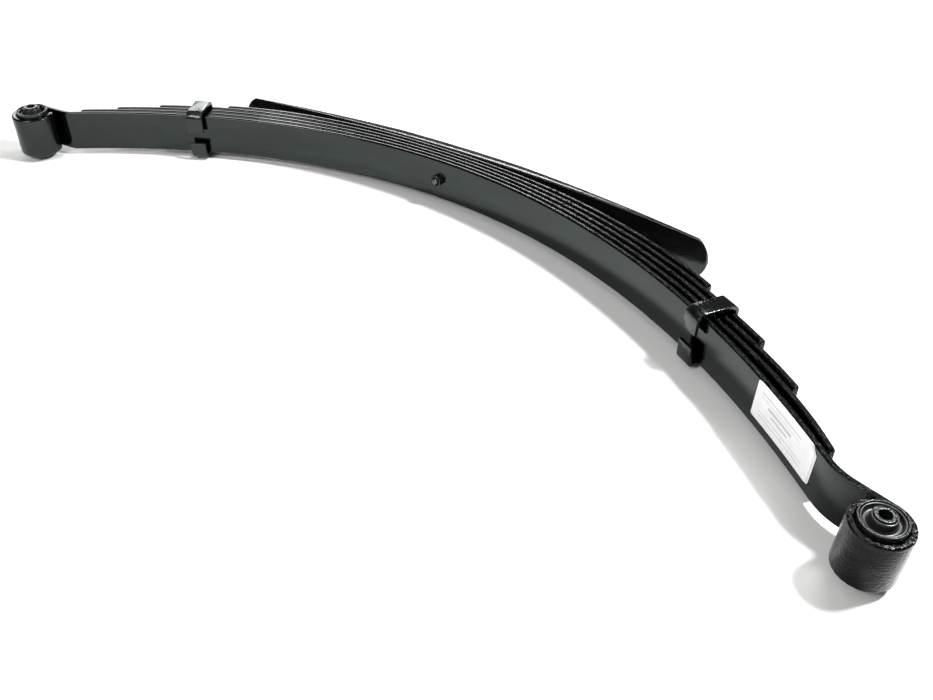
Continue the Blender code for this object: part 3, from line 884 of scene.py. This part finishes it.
def add_nut(look):
    """A hexagon nut, its corners chamfered by a cone at both ends and bored for the bolt."""
    corner = NUT_FLATS / 2 / cos(pi / 6)
    half, flat, bore = NUT_HEIGHT / 2, NUT_FLATS / 2 - NUT_FACE_STEP, BOLT_RADIUS + GAP
    bm = bmesh.new()
    bmesh.ops.create_cone(bm, cap_ends=True, segments=6, radius1=corner, radius2=corner, depth=NUT_HEIGHT)
    mesh = bpy.data.meshes.new("nut")
    bm.to_mesh(mesh)
    bm.free()
    obj = link("centre_bolt_nut_fine", mesh, look)
    outside = [(0, half), (flat, half), (corner, half - NUT_CHAMFER)]
    outside += [(corner, -half + NUT_CHAMFER), (flat, -half), (0, -half)]
    inside = [(0, half * 2), (bore, half * 2), (bore, -half * 2), (0, -half * 2)]
    drum = turned("nut_drum", outside, look, 48)
    hole = turned("nut_hole", inside, look, 48)
    for tool, operation in ((drum, "INTERSECT"), (hole, "DIFFERENCE")):
        boolean = obj.modifiers.new(tool.name, "BOOLEAN")
        boolean.operation = operation
        boolean.object = tool
    bake(obj)
    for tool in (drum, hole):
        bpy.data.objects.remove(tool)
    obj.data.transform(Matrix.Translation((0, 0, -half - GAP)))
    across_leaf(obj, REAR, 0)
    obj.data.shade_smooth()
    obj.data.set_sharp_from_angle(angle=radians(20))
    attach(obj, "leaf_pack")
    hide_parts("centre_bolt_nut")


def add_rivet(side, look):
    """A domed rivet through a clip's back and leaf 4."""
    start = leaf_offset(side, CLIP_AT[side], "leaf_4") + GAP
    seat = clip_back(side) + CLIP_THICKNESS + GAP
    dome = []
    for turn in range(RIVET_TURNS + 1):
        angle = pi / 2 * turn / RIVET_TURNS
        height = RIVET_HEAD_HEIGHT * (RIVET_RIM + (1 - RIVET_RIM) * cos(angle))
        dome.append((RIVET_HEAD_RADIUS * sin(angle), seat + height))
    profile = dome + [(RIVET_HEAD_RADIUS, seat), (RIVET_RADIUS, seat), (RIVET_RADIUS, start), (0, start)]
    obj = across_leaf(turned(NAMES[side] + "_rivet_fine", profile, look, 48), side, CLIP_AT[side])
    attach(obj, NAMES[side] + "_clip_section")
    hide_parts(NAMES[side] + "_clip_rivet")


# ---------------------------------------------------------------- label


def add_sheet(name, node, look, start, end, offset):
    """A label bent to the leaf: rounded corners, and the upper rear one cut off."""
    radius = LABEL_CORNER
    stations = []
    for k in range(7):
        depth = radius * (1 - cos(pi / 2 * k / 6))
        stations.append((start + depth, LABEL_LOW + bite(radius, depth), LABEL_HIGH - bite(radius, depth)))
    for length in np.linspace(start + radius, end - LABEL_CUT, 24)[1:]:
        stations.append((length, LABEL_LOW, LABEL_HIGH))
    for length in np.linspace(end - LABEL_CUT, end, 10)[1:]:
        left = end - length
        stations.append((length, LABEL_LOW + bite(radius, left), LABEL_HIGH - LABEL_CUT + left))
    bm = bmesh.new()
    uv = bm.loops.layers.uv.new("metres")
    rows = []
    for length, low, high in stations:
        row = []
        for away in (offset, offset - LABEL_THICKNESS):
            row.append([bm.verts.new(at(REAR, length, -away, z)) for z in (low, high)])
        rows.append(row)
    spots = {}
    for (length, low, high), row in zip(stations, rows):
        for layer in row:
            spots[layer[0]], spots[layer[1]] = (length, low), (length, high)
    for first, second in zip(rows, rows[1:]):
        (a, b), (c, d) = first
        (e, f), (g, h) = second
        for corners in ((a, b, f, e), (c, g, h, d), (a, e, g, c), (b, d, h, f)):
            bm.faces.new(corners)
    for (a, b), (c, d) in (rows[0], rows[-1]):
        bm.faces.new((a, b, d, c))
    for face in bm.faces:
        for loop in face.loops:
            loop[uv].uv = spots[loop.vert]
    bmesh.ops.recalc_face_normals(bm, faces=bm.faces[:])
    mesh = bpy.data.meshes.new(name)
    bm.to_mesh(mesh)
    bm.free()
    obj = link(name, mesh, look)
    bend_between(obj)
    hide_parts(node)


# ---------------------------------------------------------------- floor, light and camera


def add_floor():
    """A plain pale floor."""
    bm = bmesh.new()
    bmesh.ops.create_grid(bm, x_segments=1, y_segments=1, size=FLOOR_SIZE)
    mesh = bpy.data.meshes.new("floor")
    bm.to_mesh(mesh)
    bm.free()
    made = Nodes("floor")
    made.shader.inputs["Base Color"].default_value = FLOOR_COLOUR
    made.shader.inputs["Roughness"].default_value = 0.8
    made.shader.inputs["Specular IOR Level"].default_value = 0.1
    link("floor", mesh, made.material)


def add_light(name, place, aim, size, power):
    """A soft rectangular light, which the camera doesn't see itself."""
    data = bpy.data.lights.new(name, "AREA")
    data.shape = "RECTANGLE"
    data.size, data.size_y = size
    data.energy = power
    obj = bpy.data.objects.new(name, data)
    bpy.context.scene.collection.objects.link(obj)
    obj.location = place
    obj.rotation_mode = "QUATERNION"
    obj.rotation_quaternion = (Vector(aim) - Vector(place)).to_track_quat("-Z", "Y")
    obj.visible_camera = False


def add_world():
    """A studio: pale low walls, dark above them."""
    world = bpy.data.worlds.new("studio")
    world.use_nodes = True
    tree = world.node_tree
    ways = tree.nodes.new("ShaderNodeTexCoord")
    split = tree.nodes.new("ShaderNodeSeparateXYZ")
    ramp = tree.nodes.new("ShaderNodeValToRGB")
    tree.links.new(ways.outputs["Generated"], split.inputs[0])
    tree.links.new(split.outputs["Z"], ramp.inputs["Fac"])
    tree.links.new(ramp.outputs["Color"], tree.nodes["Background"].inputs["Color"])
    elements = ramp.color_ramp.elements
    while len(elements) < len(WORLD_TONES):
        elements.new(0.5)
    for element, (height, tone) in zip(elements, WORLD_TONES):
        element.position = height
        element.color = (tone * WORLD_RED, tone, tone, 1)
    bpy.context.scene.world = world


def add_camera():
    """The camera, turned by its yaw, pitch and roll."""
    data = bpy.data.cameras.new("camera")
    data.lens = CAMERA_LENS
    data.sensor_width = 36
    data.clip_start = 0.01
    flat = cos(CAMERA_PITCH)
    ahead = Vector((sin(CAMERA_YAW) * flat, cos(CAMERA_YAW) * flat, -sin(CAMERA_PITCH)))
    level = Vector((cos(CAMERA_YAW), -sin(CAMERA_YAW), 0))
    below = ahead.cross(level)
    right = cos(CAMERA_ROLL) * level + sin(CAMERA_ROLL) * below
    down = -sin(CAMERA_ROLL) * level + cos(CAMERA_ROLL) * below
    turn = Matrix((right, -down, -ahead)).transposed()
    obj = bpy.data.objects.new("camera", data)
    bpy.context.scene.collection.objects.link(obj)
    obj.matrix_world = Matrix.Translation(CAMERA_PLACE + SHIFT) @ turn.to_4x4()
    bpy.context.scene.camera = obj


# ---------------------------------------------------------------- the whole scene

paint = leaf_paint()
gloss = gloss_paint()
clip_paint = metal("clip_paint", grey(0.002), grey(0.006), (0.08, 0.2), 0.0, 90, 0.4)
bolt_steel = metal("bolt_steel", grey(0.02), grey(0.20), (0.25, 0.45), 0.9, 400, 0.6)
black_oxide = metal("black_oxide", grey(0.003), grey(0.008), (0.2, 0.35), 0.0)
sleeve_steel = metal("sleeve_steel", grey(0.003), grey(0.010), (0.08, 0.22), 0.0, 300, 0.25)
rubber = rubber_look()
film = label_look()

add_leaves(paint)
add_overload(gloss)
add_bolt(bolt_steel)
add_nut(black_oxide)
for half in (FRONT, REAR):
    add_clip(half, clip_paint)
    add_rivet(half, clip_paint)
    add_bush(half, sleeve_steel, rubber)
layer = LABEL_THICKNESS + GAP
backing_from, backing_to = LABEL_FROM + BACKING_SHIFT, LABEL_TO + BACKING_SHIFT
add_sheet("label_backing_fine", "label_backing", film, backing_from, backing_to, layer)
add_sheet("label_fine", "label", film, LABEL_FROM, LABEL_TO, 2 * layer)

add_floor()
add_world()
for light in LIGHTS:
    add_light(*light)
add_camera()
bpy.context.scene.view_settings.view_transform = "Standard"
